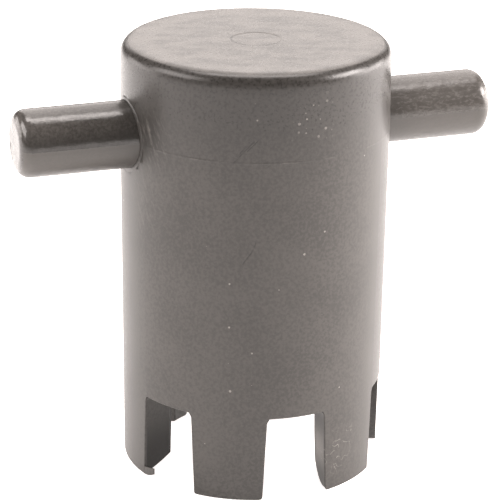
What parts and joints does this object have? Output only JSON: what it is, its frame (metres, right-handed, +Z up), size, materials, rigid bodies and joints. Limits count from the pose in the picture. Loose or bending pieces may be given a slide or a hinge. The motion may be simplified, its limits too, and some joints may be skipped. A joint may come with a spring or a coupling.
{
  "type": "castellated radiator key",
  "caption": "T-handled key for heating fittings: a round moulded cup with drive teeth round its open end and a straight bar through its head.",
  "frame": {"origin": "centre of the tooth-end plane, on the cup's axis: the key stands on its teeth", "axes": "+Z up along the cup's axis towards its closed head, +X along the bar, +Y through a notch"},
  "size_m": [0.093, 0.051, 0.083],
  "materials": {
    "body_plastic": "dark warm-grey moulded plastic, satin, finely mottled, with light handling scuffs",
    "bar_plastic": "the same grey plastic, glossier above its parting line and duller below it"
  },
  "bodies": {
    "root": {"socket_body": "body_plastic", "cross_bar": "bar_plastic"}
  },
  "joints": []
}
